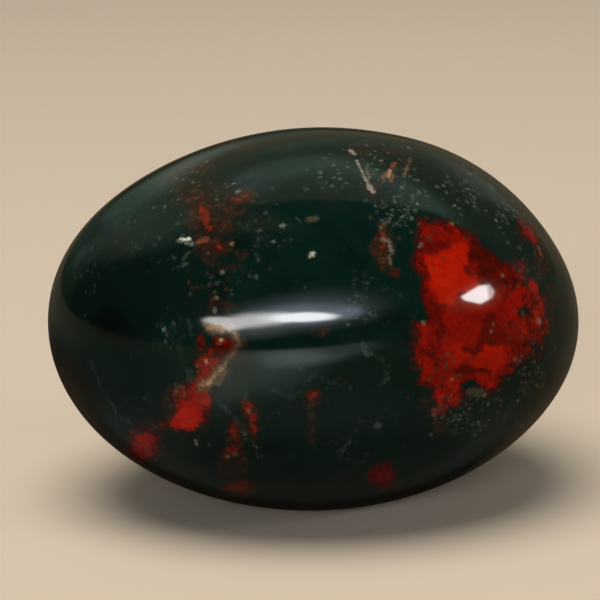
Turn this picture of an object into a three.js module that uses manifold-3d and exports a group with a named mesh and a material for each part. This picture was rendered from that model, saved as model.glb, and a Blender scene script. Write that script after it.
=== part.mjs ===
// A polished bloodstone: one oval pebble of dark green chalcedony with red jasper in it.
// It was tumbled to a smooth ellipsoid, longest along X and lowest along Z, and finished by hand,
// which left a few broad places a little flatter than a true ellipsoid, and a small ground foot
// that it stands on. Red, brown and white are colour inside the stone, and raise nothing.
//
// Millimetres, +Z up. The origin is on the surface that the stone stands on, below the middle.

import * as THREE from "three";
import { mergeVertices } from "three/addons/utils/BufferGeometryUtils.js";
import Module from "manifold-3d";

// Driving dimensions
const LENGTH = 50;
const DEPTH = 40;
const HEIGHT = 36; // of the whole ellipsoid, before the foot is ground
const FOOT_GRIND = 0.5; // how much of the height the ground foot takes away
const SPHERE_DETAIL = 17; // each face of the icosahedron is cut into (detail + 1) squared triangles

// Broad places that the hand polishing wore down: where on the stone, how far the wear spreads,
// and how deep it is at its middle.
const WORN_PLACES = [
  { name: "right shoulder", towards: [0.88, -0.08, 0.47], spread: 16, depth: 0.8 },
  { name: "left shoulder", towards: [-0.5, -0.08, 0.86], spread: 18, depth: 0.6 },
  { name: "back cheek", towards: [-0.3, 0.94, 0.12], spread: 19, depth: 0.6 },
  { name: "right underside", towards: [0.6, 0.42, -0.66], spread: 16, depth: 0.4 },
  { name: "top", towards: [0.18, 0.34, 0.92], spread: 18, depth: 0.35 },
];

const semiAxes = new THREE.Vector3(LENGTH / 2, DEPTH / 2, HEIGHT / 2);
const middleHeight = semiAxes.z - FOOT_GRIND;

// The point of the plain ellipsoid that a direction from its middle leads to.
function onEllipsoid(direction) {
  return direction.clone().normalize().multiply(semiAxes);
}

// A smooth bump that is 1 at the middle of a worn place and falls to 0 at its edge.
function wearShare(distance, spread) {
  const inside = Math.max(0, 1 - distance / spread);
  return inside * inside * (3 - 2 * inside);
}

// Moves a point of the ellipsoid inwards by what the polishing wore away there.
function polished(point) {
  const worn = point.clone();
  for (const place of WORN_PLACES) {
    const centre = onEllipsoid(new THREE.Vector3(...place.towards));
    const inwards = centre.clone().divide(semiAxes).divide(semiAxes).normalize().negate();
    worn.addScaledVector(inwards, place.depth * wearShare(point.distanceTo(centre), place.spread));
  }
  return worn;
}

// The tumbled pebble as one closed shell of even triangles, with its middle at its own height.
function pebbleGeometry() {
  const geometry = new THREE.IcosahedronGeometry(1, SPHERE_DETAIL);
  geometry.deleteAttribute("normal");
  geometry.deleteAttribute("uv");
  const merged = mergeVertices(geometry, 1e-5);
  const position = merged.getAttribute("position");
  const vertex = new THREE.Vector3();
  for (let i = 0; i < position.count; i += 1) {
    vertex.fromBufferAttribute(position, i);
    const surface = polished(onEllipsoid(vertex));
    position.setXYZ(i, surface.x, surface.y, surface.z + middleHeight);
  }
  return merged;
}

// Geometry to a manifold-3d solid and back.
const wasm = await Module();
wasm.setup();

function solidOf(geometry) {
  return new wasm.Manifold(
    new wasm.Mesh({
      numProp: 3,
      vertProperties: geometry.getAttribute("position").array,
      triVerts: new Uint32Array(geometry.index.array),
    }),
  );
}

function geometryOf(solid) {
  const mesh = solid.getMesh();
  return new THREE.BufferGeometry()
    .setAttribute("position", new THREE.BufferAttribute(mesh.vertProperties, 3))
    .setIndex(new THREE.BufferAttribute(mesh.triVerts, 1));
}

// The block of material below the foot, which grinding takes away.
function groundAwayGeometry() {
  const block = new THREE.BoxGeometry(LENGTH * 2, DEPTH * 2, HEIGHT);
  block.translate(0, 0, -HEIGHT / 2);
  block.deleteAttribute("normal");
  block.deleteAttribute("uv");
  return mergeVertices(block, 1e-5);
}

const stoneMaterial = new THREE.MeshStandardMaterial({
  color: new THREE.Color(0.012, 0.035, 0.027),
  roughness: 0.1,
  metalness: 0,
});

const stoneGeometry = geometryOf(solidOf(pebbleGeometry()).subtract(solidOf(groundAwayGeometry())));
stoneGeometry.computeBoundingBox();
const middle = stoneGeometry.boundingBox.getCenter(new THREE.Vector3());
stoneGeometry.translate(-middle.x, -middle.y, 0);
stoneGeometry.computeVertexNormals();

const stone = new THREE.Mesh(stoneGeometry, stoneMaterial);
stone.name = "bloodstone";

const part = new THREE.Group();
part.name = "polished_bloodstone";
part.add(stone);

export default part;
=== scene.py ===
import math
import random

import bmesh
import bpy
import numpy as np
from mathutils import Matrix, Vector, kdtree, noise as solid_noise


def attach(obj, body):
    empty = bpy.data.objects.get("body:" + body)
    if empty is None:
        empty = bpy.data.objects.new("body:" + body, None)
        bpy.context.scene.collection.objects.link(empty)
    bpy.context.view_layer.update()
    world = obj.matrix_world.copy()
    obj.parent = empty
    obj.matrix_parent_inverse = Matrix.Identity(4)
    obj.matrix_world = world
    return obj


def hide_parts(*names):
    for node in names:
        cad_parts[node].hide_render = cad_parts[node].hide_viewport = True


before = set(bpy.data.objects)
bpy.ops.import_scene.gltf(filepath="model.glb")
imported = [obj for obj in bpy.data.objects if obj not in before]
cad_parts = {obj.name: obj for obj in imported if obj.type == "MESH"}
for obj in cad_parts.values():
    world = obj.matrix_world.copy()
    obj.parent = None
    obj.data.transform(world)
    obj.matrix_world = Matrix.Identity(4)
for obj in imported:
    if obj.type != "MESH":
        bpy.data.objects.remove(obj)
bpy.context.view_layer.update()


# The pebble: one piece of chalcedony, tumbled to an ellipsoid and finished by hand. Polishing
# wore a few broad places flatter, and a small foot is ground below, which it stands on.
MM = 0.001
LENGTH = 50 * MM
DEPTH = 40 * MM
HEIGHT = 36 * MM
FOOT_GRIND = 0.5 * MM
FOOT_EDGE_ANGLE = math.radians(6)
half_size = np.array([LENGTH, DEPTH, HEIGHT]) / 2
MIDDLE = Vector((0, 0, half_size[2] - FOOT_GRIND))
CAMERA_ELEVATION = 14
seen_from = math.radians(CAMERA_ELEVATION)
towards_camera = Vector((0, -math.cos(seen_from), math.sin(seen_from)))
SPHERE_SUBDIVISIONS = 7
FRONT_SHARE = 0.2
CUT_THRESHOLD = 0.001 * MM

# Where the stone is worn: towards which side, how far the wear spreads, and how deep it is.
worn_places = {
    "right shoulder": ((0.88, -0.08, 0.47), 16 * MM, 0.8 * MM),
    "left shoulder": ((-0.5, -0.08, 0.86), 18 * MM, 0.6 * MM),
    "back cheek": ((-0.3, 0.94, 0.12), 19 * MM, 0.6 * MM),
    "right underside": ((0.6, 0.42, -0.66), 16 * MM, 0.4 * MM),
    "top": ((0.18, 0.34, 0.92), 18 * MM, 0.35 * MM),
}

bpy.ops.object.select_all(action="DESELECT")
bpy.ops.mesh.primitive_ico_sphere_add(subdivisions=SPHERE_SUBDIVISIONS, radius=1)
stone = bpy.context.object
stone.name = "polished_bloodstone"
stone.data.name = "polished_bloodstone"

# The side that shows the finest marks gets four faces for each one elsewhere.
bpy.ops.object.mode_set(mode="EDIT")
bpy.ops.mesh.select_mode(type="FACE")
bpy.ops.mesh.select_all(action="DESELECT")
shape = bmesh.from_edit_mesh(stone.data)
for face in shape.faces:
    face.select_set(face.normal.dot(towards_camera) > FRONT_SHARE)
bmesh.update_edit_mesh(stone.data)
bpy.ops.mesh.subdivide(number_cuts=1)
shape = bmesh.from_edit_mesh(stone.data)
for vertex in shape.verts:
    vertex.co.normalize()
bmesh.update_edit_mesh(stone.data)
bpy.ops.mesh.select_all(action="SELECT")
bpy.ops.transform.resize(value=half_size, center_override=(0, 0, 0))
bpy.ops.transform.translate(value=MIDDLE)

# Each worn place is pressed in with a smooth fall-off, as a polishing wheel leaves it.
bpy.ops.mesh.select_mode(type="VERT")
for side, spread, depth in worn_places.values():
    outwards = np.array(side) / np.linalg.norm(side)
    centre = Vector(outwards * half_size) + MIDDLE
    inwards = -Vector(outwards / half_size).normalized()
    bpy.ops.mesh.select_all(action="DESELECT")
    shape = bmesh.from_edit_mesh(stone.data)
    min(shape.verts, key=lambda vertex: (vertex.co - centre).length).select_set(True)
    bmesh.update_edit_mesh(stone.data)
    bpy.ops.transform.translate(
        value=inwards * depth,
        use_proportional_edit=True,
        proportional_edit_falloff="SMOOTH",
        proportional_size=spread,
    )

# The foot is ground flat, and the stone is set over the middle of its own outline.
bpy.ops.mesh.select_all(action="SELECT")
bpy.ops.mesh.bisect(
    plane_co=(0, 0, 0), plane_no=(0, 0, 1), use_fill=True, clear_inner=True, threshold=CUT_THRESHOLD
)
bpy.ops.object.mode_set(mode="OBJECT")
corners = np.array([vertex.co for vertex in stone.data.vertices])
recentre = -(corners.min(axis=0) + corners.max(axis=0)) / 2
bpy.ops.object.mode_set(mode="EDIT")
bpy.ops.mesh.select_all(action="SELECT")
bpy.ops.transform.translate(value=(recentre[0], recentre[1], 0))
bpy.ops.object.mode_set(mode="OBJECT")
bpy.ops.object.shade_smooth_by_angle(angle=FOOT_EDGE_ANGLE)
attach(stone, "root")
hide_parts("bloodstone")


# How marks are placed: each is told in millimetres right of and above the middle of the outline,
# as one side of it is looked at, and the line of sight is followed to where it meets the surface.
EYE_DISTANCE = 235 * MM
STONE_TILT = 1.8
SEEN_ASIDE = (-1.24 * MM, 1.57 * MM)
OUTLINE_MIDDLE = np.array([0.0, -0.3])
OUTLINE_SCALE = 0.995
mesh = stone.data
bpy.context.view_layer.update()
places = np.empty(len(mesh.vertices) * 3)
mesh.vertices.foreach_get("co", places)
places = places.reshape(-1, 3)
normals = np.empty(len(mesh.vertices) * 3)
mesh.vertices.foreach_get("normal", normals)
normals = normals.reshape(-1, 3)


def looked_at(azimuth, elevation, roll=0.0, aside=(0.0, 0.0)):
    """The eye that looks at one side of the stone, with its directions right, up and back."""
    turn = Matrix.Rotation(math.radians(azimuth), 3, "Z")
    turn = turn @ Matrix.Rotation(math.radians(90 - elevation), 3, "X")
    turn = turn @ Matrix.Rotation(math.radians(roll), 3, "Z")
    right, up, back = turn.col
    eye = MIDDLE + back * EYE_DISTANCE + right * aside[0] + up * aside[1]
    return eye, right, up, back


sides = {
    "front": looked_at(0, CAMERA_ELEVATION, -STONE_TILT, SEEN_ASIDE),
    "back": looked_at(180, 12),
    "left": looked_at(-90, 15),
    "right": looked_at(90, 15),
    "top": looked_at(0, 89),
    "below": looked_at(0, -89),
}


def on_stone(side, right_mm, up_mm):
    """The point of the surface that is seen at a place of one side."""
    eye, right, up, _ = sides[side]
    aside, above = np.array([right_mm, up_mm]) * OUTLINE_SCALE + OUTLINE_MIDDLE
    target = MIDDLE + right * (aside * MM) + up * (above * MM)
    _, place, _, _ = stone.ray_cast(eye, target - eye)
    return place


# Nothing in the stone has a smooth edge, so the marks' outlines wander: by how much, and over what
# length, in millimetres. The seed keeps them the same each time.
WANDER_SEED = 2
WANDERINGS = ((0.40, 1.4), (0.28, 0.55))
solid_noise.seed_set(WANDER_SEED)
wander = np.zeros((len(places), 2))
for reach, length in WANDERINGS:
    for number, place in enumerate(places / (length * MM)):
        wander[number] += reach * np.array(solid_noise.noise_vector(Vector(place))[:2])


def seen_flat(side):
    """Where each vertex is seen on one side, in millimetres, and whether it faces the eye."""
    eye, right, up, back = (np.array(v) for v in sides[side])
    ray = places - eye
    scale = EYE_DISTANCE / -(ray @ back) / MM
    offset = np.array(eye - np.array(MIDDLE) - back * EYE_DISTANCE) / MM
    flat = np.stack([(ray @ right) * scale + offset @ right, (ray @ up) * scale + offset @ up], axis=1)
    flat = (flat - OUTLINE_MIDDLE) / OUTLINE_SCALE + wander
    return flat, np.einsum("ij,ij->i", normals, -ray) > 0


def inside_outline(flat, outline):
    """How far inside a closed outline each place is, and below zero outside it."""
    corners = np.array(outline)
    distance = np.full(len(flat), np.inf)
    inside = np.zeros(len(flat), bool)
    for start, end in zip(corners, np.roll(corners, -1, axis=0)):
        along = end - start
        share = np.clip((flat - start) @ along / (along @ along), 0, 1)
        distance = np.minimum(distance, np.linalg.norm(flat - start - share[:, None] * along, axis=1))
        if start[1] != end[1]:
            crossing = start[0] + (flat[:, 1] - start[1]) * along[0] / along[1]
            inside ^= ((start[1] > flat[:, 1]) != (end[1] > flat[:, 1])) & (flat[:, 0] < crossing)
    return np.where(inside, distance, -distance)


def inside_stroke(flat, stroke):
    """How far inside a stroke each place is. A stroke is told by (right, up, half width)."""
    points = np.array(stroke)
    if len(points) == 1:
        points = np.vstack([points, points])
    depth = np.full(len(flat), -np.inf)
    for start, end in zip(points, points[1:]):
        along = end[:2] - start[:2]
        share = np.clip((flat - start[:2]) @ along / max(along @ along, 1e-9), 0, 1)
        middle = start[:2] + share[:, None] * along
        width = start[2] + share * (end[2] - start[2])
        depth = np.maximum(depth, width - np.linalg.norm(flat - middle, axis=1))
    return depth


# How far out a soft oval is gone, and over how much of its reach it fades away
OVAL_OUTER = 1.25
OVAL_FADE = 0.5


def inside_oval(flat, oval):
    """1 in an oval told by (right, up, half width, half height), falling softly to 0 at its edge."""
    reach = np.hypot((flat[:, 0] - oval[0]) / oval[2], (flat[:, 1] - oval[1]) / oval[3])
    share = np.clip((OVAL_OUTER - reach) / OVAL_FADE, 0, 1)
    return share * share * (3 - 2 * share)


# The depth that stands for being nowhere near a mark
FAR_MM = 5.0


def keep(name, values):
    """Keeps one number for each vertex, for the material to read."""
    mesh.attributes.new(name, "FLOAT", "POINT").data.foreach_set("value", values.astype(np.float32))


# Red jasper: iron oxide grown through the chalcedony in one large patch, a broken streak and
# scattered spots. Its edges are grainy, and inside it bright clouds lie in a darker red.
jasper_outlines = {
    "front": [
        # the large patch
        [
            (9.9, 9.4), (12.5, 9.4), (13.7, 8.9), (15.0, 8.2), (15.9, 7.3), (16.3, 6.5), (17.4, 5.8),
            (18.6, 5.5), (19.8, 5.3), (20.8, 4.6), (21.7, 3.7), (22.4, 2.4), (22.8, 1.0), (22.8, -0.8),
            (22.4, -1.9), (21.6, -3.3), (20.6, -4.2), (19.1, -4.9), (18.0, -5.7), (17.3, -6.7),
            (16.7, -7.3), (15.7, -6.4), (14.1, -6.3), (14.1, -7.7), (13.4, -8.1), (12.4, -8.6),
            (11.6, -9.2), (11.0, -8.3), (10.5, -6.9), (9.9, -5.9), (9.5, -4.5), (9.4, -2.9),
            (9.4, -0.6), (9.7, 0.4), (9.8, 2.0), (9.7, 2.7), (9.8, 4.4), (9.6, 5.7), (9.8, 7.0),
        ],
        # the upper lump of the streak
        [
            (-10.0, -3.0), (-8.3, -3.2), (-8.5, -4.1), (-9.0, -5.0), (-9.6, -5.7), (-10.2, -6.4),
            (-11.1, -6.2), (-11.3, -5.0), (-10.9, -3.9),
        ],
        # the lower lump of the streak
        [
            (-12.6, -6.3), (-11.6, -5.9), (-10.6, -6.0), (-9.8, -6.4), (-9.4, -7.5), (-9.6, -8.7),
            (-10.3, -9.7), (-11.2, -10.4), (-12.0, -10.6), (-12.7, -10.2), (-13.6, -10.1), (-13.6, -9.2),
            (-13.0, -8.3), (-12.9, -7.5), (-13.2, -6.9),
        ],
    ],
    "back": [
        [
            (-12.5, 4.5), (-10.8, 6.6), (-8.2, 7.2), (-6.0, 6.0), (-5.2, 3.8), (-5.9, 1.4), (-5.0, -0.6),
            (-6.4, -2.8), (-8.6, -3.4), (-10.2, -1.9), (-11.9, -1.2), (-13.0, 0.9),
        ],
    ],
}

jasper_strokes = {
    "front": [
        # the dark round above the streak, the small spot beside it and the tail below
        [(-8.7, -2.3, 1.0), (-8.3, -2.6, 1.1)],
        [(-10.6, -1.9, 0.2), (-10.6, -2.5, 0.25)],
        [(-13.2, -9.8, 0.4), (-14.4, -10.1, 0.15)],
        # the ball at the lower left
        [(-16.05, -11.75, 1.6)],
        # streaks below the middle
        [(-6.3, -7.7, 0.25), (-6.1, -8.6, 0.35), (-5.6, -9.7, 0.4), (-5.4, -10.5, 0.2)],
        [(-7.5, -10.0, 0.3), (-7.4, -10.9, 0.45), (-7.5, -11.6, 0.2)],
        [(-8.1, -12.5, 0.45), (-7.4, -12.3, 0.4)],
        [(0.1, -7.4, 0.45)],
        [(-7.8, -15.9, 0.5), (-6.6, -15.9, 0.6)],
        [(6.3, -14.8, 1.0), (6.9, -14.9, 1.0)],
        # the streak by the right shoulder
        [(19.6, 9.3, 0.25), (20.3, 8.3, 0.5), (21.2, 7.0, 0.3)],
        # the cluster at the upper left
        [(-10.4, 10.9, 0.4), (-10.2, 9.6, 0.75), (-10.0, 8.9, 0.5)],
        [(-9.0, 9.3, 0.35)],
        [(-9.5, 6.8, 0.35), (-8.6, 6.7, 0.35)],
        [(-10.6, 6.8, 0.3)],
        [(-7.3, 11.4, 0.3), (-6.3, 11.8, 0.3)],
        # spots near the top vein
        [(6.5, 8.1, 0.4), (6.6, 6.9, 0.3)],
        [(7.7, 4.5, 0.2)],
    ],
    "back": [
        [(6.2, 8.6, 0.5), (7.4, 6.4, 0.9), (8.2, 4.2, 0.6), (9.8, 1.8, 1.1), (10.6, -0.8, 0.7)],
        [(12.4, -3.0, 0.8), (12.9, -4.4, 0.5)],
        [(2.6, -9.2, 1.2)],
        [(-3.4, -12.2, 0.6), (-2.2, -12.0, 0.7)],
        [(17.4, 4.8, 0.7), (18.2, 3.6, 0.5)],
        [(-16.8, -5.4, 1.0), (-16.0, -6.6, 0.6)],
        [(-18.6, 2.2, 0.5), (-18.9, 0.2, 0.7)],
        [(0.4, 11.4, 0.5), (1.4, 12.0, 0.4)],
        [(-1.8, 3.4, 0.3), (-2.2, 1.8, 0.5), (-1.9, 0.4, 0.3)],
        [(7.0, -9.8, 0.4), (7.6, -11.2, 0.5)],
    ],
    "right": [
        [(3.4, 3.2, 0.6), (4.6, 2.0, 0.9), (5.2, 0.4, 0.5)],
        [(4.2, -3.4, 0.9), (5.0, -4.6, 0.5)],
        [(9.6, 5.8, 0.4), (10.4, 4.2, 0.7), (10.8, 2.4, 0.4)],
        [(13.2, -2.6, 0.8)],
        [(7.6, -8.2, 0.6), (8.8, -9.0, 0.4)],
        [(2.8, -10.6, 0.5)],
    ],
    "left": [
        [(-6.4, 6.2, 0.5), (-7.2, 4.4, 0.8), (-7.6, 2.6, 0.5)],
        [(-11.6, -3.2, 1.0), (-12.2, -4.6, 0.6)],
        [(-4.2, -6.4, 0.5), (-4.6, -7.8, 0.7)],
        [(-14.8, 4.4, 0.5)],
        [(-8.0, -10.4, 0.6), (-7.2, -11.2, 0.4)],
    ],
    "top": [
        [(-9.4, 9.2, 0.6), (-8.2, 10.6, 1.0), (-6.6, 11.8, 0.6)],
        [(3.6, 10.4, 1.2), (4.8, 9.6, 0.8)],
        [(11.6, 8.8, 0.5), (12.8, 9.6, 0.7)],
        [(-2.4, 14.8, 0.6)],
        [(-15.6, 7.8, 0.7)],
    ],
    "below": [
        [(-6.2, -2.0, 1.4), (-4.6, -3.6, 1.0), (-3.8, -5.4, 0.6)],
        [(8.4, -4.8, 1.0), (9.8, -6.2, 0.6)],
        [(13.4, 1.2, 0.7)],
        [(-14.2, -5.6, 0.8), (-15.2, -4.4, 0.5)],
        [(2.2, -11.4, 0.9)],
        [(1.6, 0.4, 0.5), (2.8, -0.4, 0.4)],
    ],
}

# Small lumps strewn round the larger ones: (right, up, half width, half height), how many, and
# the half width of the largest.
jasper_lumps = {
    "back": [
        ((-8.8, 1.8, 6.0, 7.0), 34, 0.65),
        ((8.6, 3.4, 3.6, 6.5), 18, 0.5),
        ((-16.6, -5.6, 2.0, 2.0), 7, 0.45),
        ((2.4, -9.2, 1.8, 1.6), 6, 0.4),
    ],
    "right": [
        ((3.8, 0.4, 3.4, 6.5), 24, 0.55),
        ((10.4, 4.0, 2.0, 3.4), 8, 0.4),
        ((12.8, -2.8, 2.4, 2.0), 6, 0.4),
    ],
    "left": [
        ((-7.2, 4.2, 2.0, 4.0), 10, 0.4),
        ((-11.8, -3.8, 2.4, 2.4), 9, 0.4),
        ((-4.6, -7.0, 1.6, 2.4), 6, 0.35),
    ],
    "top": [
        ((-8.0, 10.6, 3.2, 2.4), 12, 0.45),
        ((4.2, 10.0, 2.8, 2.0), 10, 0.45),
        ((12.2, 9.4, 2.4, 1.4), 6, 0.35),
    ],
    "below": [
        ((-5.0, -3.6, 4.0, 4.4), 22, 0.55),
        ((8.8, -5.4, 3.0, 2.4), 10, 0.45),
        ((2.2, -11.4, 2.0, 1.8), 6, 0.4),
    ],
}

# Clouds inside the red: (right, up, half width, half height) and how bright it is there, from 0
# for the darkest maroon to 1 for orange red. Each is laid over those before it.
jasper_clouds = {
    "front": [
        ((16.0, 0.5, 7.5, 9.5), 0.40),
        # the top of the patch: red, a dark band below it and the maroon corner at the right
        ((12.0, 8.2, 2.6, 1.3), 0.36),
        ((11.6, 7.0, 1.7, 0.6), 0.20),
        ((15.9, 5.8, 1.7, 2.4), 0.08),
        ((16.8, 4.2, 1.9, 1.3), 0.10),
        ((18.6, 4.6, 1.4, 1.0), 0.20),
        # the bright cloud at the upper left, with its arm
        ((12.6, 4.3, 2.0, 2.2), 0.82),
        ((13.9, 6.2, 0.9, 1.3), 0.72),
        ((11.6, 5.4, 1.0, 0.8), 0.76),
        ((14.6, 3.6, 1.0, 1.1), 0.70),
        ((12.5, 2.2, 1.0, 0.8), 0.80),
        ((14.9, 4.9, 0.6, 0.6), 0.30),
        # the dark red middle
        ((12.4, 0.6, 1.0, 0.8), 0.22),
        ((14.2, -0.7, 2.3, 2.5), 0.43),
        ((12.1, -1.0, 0.4, 1.6), 0.22),
        ((16.6, -1.2, 0.9, 1.9), 0.18),
        ((17.9, -0.9, 1.1, 1.5), 0.32),
        ((17.4, 1.2, 1.7, 0.6), 0.46),
        ((18.6, 2.4, 0.7, 0.8), 0.30),
        # bright clouds below it, with dark crescents between
        ((13.6, -3.2, 1.4, 1.0), 0.66),
        ((17.2, -3.4, 2.0, 1.1), 0.74),
        ((16.2, -4.4, 1.6, 0.8), 0.64),
        ((15.1, -2.8, 1.1, 0.4), 0.24),
        ((14.6, -4.7, 1.4, 0.40), 0.18),
        ((16.2, -4.9, 0.7, 0.4), 0.20),
        ((16.4, -5.9, 1.2, 0.7), 0.56),
        ((13.1, -6.0, 0.6, 1.0), 0.62),
        ((12.0, -7.2, 0.9, 0.6), 0.60),
        ((13.3, -7.7, 0.6, 0.4), 0.62),
        # the left edge
        ((9.9, 3.2, 0.9, 3.4), 0.22),
        ((10.0, 7.6, 0.6, 1.6), 0.28),
        ((10.8, 0.7, 1.1, 1.3), 0.20),
        ((10.3, -1.2, 0.8, 1.1), 0.46),
        ((10.2, -3.6, 0.6, 1.0), 0.50),
        ((10.7, -4.8, 0.8, 0.7), 0.56),
        # the grainy right part
        ((20.4, 1.0, 2.2, 4.4), 0.42),
        ((20.2, 2.3, 1.2, 0.8), 0.56),
        ((21.4, 0.3, 0.6, 0.9), 0.60),
        ((21.2, 3.4, 0.7, 0.6), 0.56),
        ((19.0, 1.6, 0.7, 1.2), 0.54),
        ((19.9, -0.8, 0.6, 0.5), 0.56),
        ((20.6, -3.2, 1.2, 0.8), 0.40),
        # the streak: its dark round, upper lump and lower lump
        ((-8.5, -2.6, 1.4, 1.2), 0.06),
        ((-8.8, -1.8, 0.7, 0.35), 0.42),
        ((-9.8, -4.3, 1.3, 1.5), 0.44),
        ((-10.2, -5.2, 0.7, 0.9), 0.62),
        ((-11.5, -8.2, 2.6, 2.8), 0.66),
        ((-12.2, -6.8, 0.9, 0.8), 0.40),
        ((-12.2, -9.3, 1.3, 1.0), 0.86),
        ((-10.9, -7.4, 0.7, 0.8), 0.62),
        ((-10.0, -9.0, 0.5, 0.9), 0.28),
        ((-14.2, -9.9, 0.8, 0.5), 0.30),
        ((-16.0, -11.8, 2.2, 2.2), 0.32),
        ((-15.9, -11.4, 0.9, 0.8), 0.50),
        # the small marks
        ((-6.0, -9.0, 1.0, 2.2), 0.52),
        ((-7.6, -11.0, 1.2, 1.6), 0.38),
        ((-7.8, -12.7, 1.2, 0.8), 0.36),
        ((0.1, -7.4, 0.7, 0.7), 0.62),
        ((-7.3, -15.9, 1.8, 1.0), 0.06),
        ((6.6, -14.9, 1.8, 1.5), 0.17),
        ((20.3, 8.2, 1.6, 1.8), 0.62),
        ((-9.8, 9.4, 2.8, 2.2), 0.42),
        ((-9.1, 6.8, 2.4, 0.9), 0.55),
        ((-6.8, 11.6, 1.4, 0.8), 0.20),
        ((7.0, 6.5, 1.6, 2.4), 0.20),
    ],
    "back": [
        ((-8.8, 2.2, 4.8, 5.8), 0.45),
        ((-9.6, 4.4, 2.2, 2.0), 0.85),
        ((-7.2, 0.2, 1.6, 1.6), 0.15),
        ((-8.6, -1.8, 1.8, 1.0), 0.72),
        ((-11.8, 1.4, 1.0, 1.8), 0.20),
        ((-6.6, 5.0, 1.0, 1.0), 0.50),
        ((9.2, 2.6, 2.6, 5.4), 0.55),
        ((10.2, 1.4, 1.2, 1.4), 0.85),
        ((2.6, -9.2, 2.0, 2.0), 0.35),
        ((-16.6, -5.8, 2.0, 1.8), 0.30),
    ],
    "right": [((4.2, 1.4, 3.2, 4.0), 0.55), ((4.8, 1.8, 1.2, 1.2), 0.80), ((13.2, -2.6, 1.4, 1.2), 0.30)],
    "left": [((-7.0, 4.4, 1.6, 2.6), 0.50), ((-11.8, -3.6, 1.8, 1.8), 0.70), ((-4.4, -7.2, 1.2, 1.6), 0.30)],
    "top": [((-8.0, 10.4, 2.4, 2.2), 0.55), ((4.0, 10.2, 2.2, 1.8), 0.75), ((12.2, 9.2, 1.6, 1.2), 0.35)],
    "below": [
        ((-5.0, -3.6, 3.0, 3.4), 0.50),
        ((-6.0, -2.2, 1.4, 1.2), 0.85),
        ((2.2, -11.4, 1.6, 1.6), 0.30),
    ],
}

# Places where the red thins out and green shows through: (right, up, half width, half height) and
# by how many millimetres it thins.
thin_places = {
    "front": [
        ((19.8, 0.6, 0.5, 0.4), 0.9),
        ((11.2, -2.9, 0.6, 0.8), 0.7),
        ((11.7, -4.4, 0.6, 0.7), 0.65),
        ((14.7, -6.3, 0.6, 0.4), 1.0),
        ((18.8, -0.3, 0.4, 0.35), 0.5),
        ((21.4, 1.2, 1.8, 4.2), 0.70),
        ((19.6, -3.2, 1.6, 1.4), 0.75),
        ((19.0, 3.6, 1.2, 0.8), 0.70),
        ((11.4, -7.0, 1.8, 1.2), 0.55),
        ((10.0, -3.5, 0.7, 2.2), 0.25),
        ((9.8, 2.2, 0.7, 1.8), 0.55),
        ((10.2, 0.3, 0.8, 0.9), 1.00),
        ((-9.9, -2.1, 0.35, 0.5), 0.6),
        ((-9.9, 9.4, 1.6, 1.8), 0.15),
        ((-9.2, 6.8, 1.8, 0.6), 0.20),
    ],
    "back": [((-9.8, 0.4, 0.5, 0.4), 1.3), ((-7.4, 5.0, 0.4, 0.5), 0.9), ((8.4, 5.2, 0.8, 1.6), 0.3)],
}

# How deep inside its edge the red is solid, in millimetres, how bright it is where no cloud lies,
# and how long a strewn lump may be.
SOLID_RED = 1.1
PLAIN_RED_LIGHT = 0.4
LUMP_LENGTH = 1.4
red_depth = np.full(len(places), -FAR_MM)
red_light = np.full(len(places), PLAIN_RED_LIGHT)
luck = random.Random(11)
for side, marks in jasper_lumps.items():
    for (right, up, half_width, half_height), count, largest in marks:
        for _ in range(count):
            start = (luck.gauss(right, half_width / 2), luck.gauss(up, half_height / 2))
            turn = luck.uniform(0, math.pi)
            length = luck.uniform(0, LUMP_LENGTH)
            end = (start[0] + length * math.cos(turn), start[1] + length * math.sin(turn))
            width = largest * luck.uniform(0.25, 1)
            jasper_strokes[side].append([(*start, width), (*end, width / 2)])

for side, red_strokes in jasper_strokes.items():
    flat, faces_eye = seen_flat(side)
    depths = [inside_stroke(flat, stroke) for stroke in red_strokes]
    depths += [inside_outline(flat, outline) for outline in jasper_outlines.get(side, [])]
    depth = np.minimum(np.max(depths, axis=0), SOLID_RED)
    for place, thinning in thin_places.get(side, []):
        depth -= thinning * inside_oval(flat, place)
    red_depth = np.maximum(red_depth, np.where(faces_eye, depth, -FAR_MM))
    for cloud, light in jasper_clouds[side]:
        red_light += np.where(faces_eye, inside_oval(flat, cloud), 0) * (light - red_light)
keep("red_depth", np.maximum(red_depth, -FAR_MM))
keep("red_light", red_light)


# Cream quartz: it lines the streak on its right, whitish where it is thickest and olive where it
# thins out, and small lumps of it lie elsewhere.
cream_strokes = {
    "front": [
        [(-10.4, -0.4, 0.3), (-9.3, -0.8, 0.7), (-7.9, -0.9, 0.6), (-7.1, -1.7, 0.3), (-7.2, -2.8, 0.15)],
        [(-7.3, -3.0, 0.2), (-8.2, -3.9, 0.35), (-9.1, -4.9, 0.5), (-10.0, -5.9, 0.75), (-10.6, -6.4, 0.4)],
        [(-8.0, -4.8, 0.2), (-8.9, -6.0, 0.3)],
    ],
    "back": [
        [(-5.2, -0.2, 0.3), (-5.6, -1.8, 0.6), (-6.6, -3.0, 0.5), (-8.0, -3.8, 0.3)],
        [(11.0, -1.4, 0.4), (11.8, -2.4, 0.3)],
    ],
    "left": [[(-12.9, -4.9, 0.3), (-13.2, -5.8, 0.2)]],
    "below": [[(-3.2, -6.0, 0.4), (-2.6, -7.2, 0.3)]],
}
cream_depth = np.full(len(places), -FAR_MM)
for side in cream_strokes:
    flat, faces_eye = seen_flat(side)
    for stroke in cream_strokes[side]:
        depth = np.where(faces_eye, inside_stroke(flat, stroke), -FAR_MM)
        cream_depth = np.maximum(cream_depth, depth)
keep("cream_depth", np.clip(cream_depth, -FAR_MM, FAR_MM))


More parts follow.
